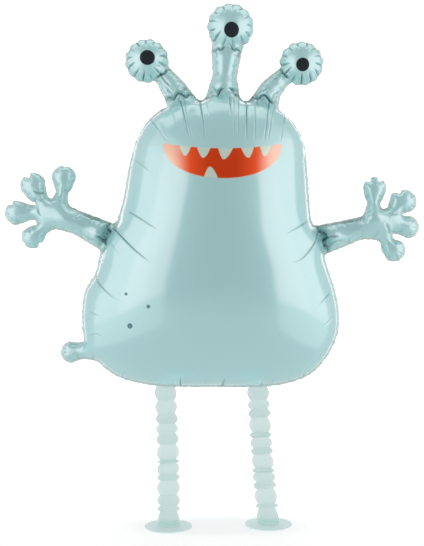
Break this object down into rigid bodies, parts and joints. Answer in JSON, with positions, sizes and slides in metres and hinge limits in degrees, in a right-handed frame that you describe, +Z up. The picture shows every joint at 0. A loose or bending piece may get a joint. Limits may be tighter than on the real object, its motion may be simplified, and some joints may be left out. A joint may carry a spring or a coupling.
{
  "type": "foil walking balloon creature",
  "caption": "Inflated foil creature balloon with eye stalks, spread hands and a filling tail, standing on folded paper legs with round card feet.",
  "frame": {"origin": "on the floor, below the middle of the figure's bounding box", "axes": "+Z up, -Y the front that the mouth is on, +X the viewer's right"},
  "size_m": [0.8278, 0.311, 1.0457],
  "materials": {
    "foil": "satin metallised film, pale teal, with printed mouth, pupils and spots",
    "leg_paper": "folded pale mint paper, matte",
    "foot_card": "pale mint card, matte"
  },
  "bodies": {
    "root": {"foil_envelope": "foil", "leg_left": "leg_paper", "leg_right": "leg_paper", "foot_left": "foot_card", "foot_right": "foot_card"}
  },
  "joints": []
}
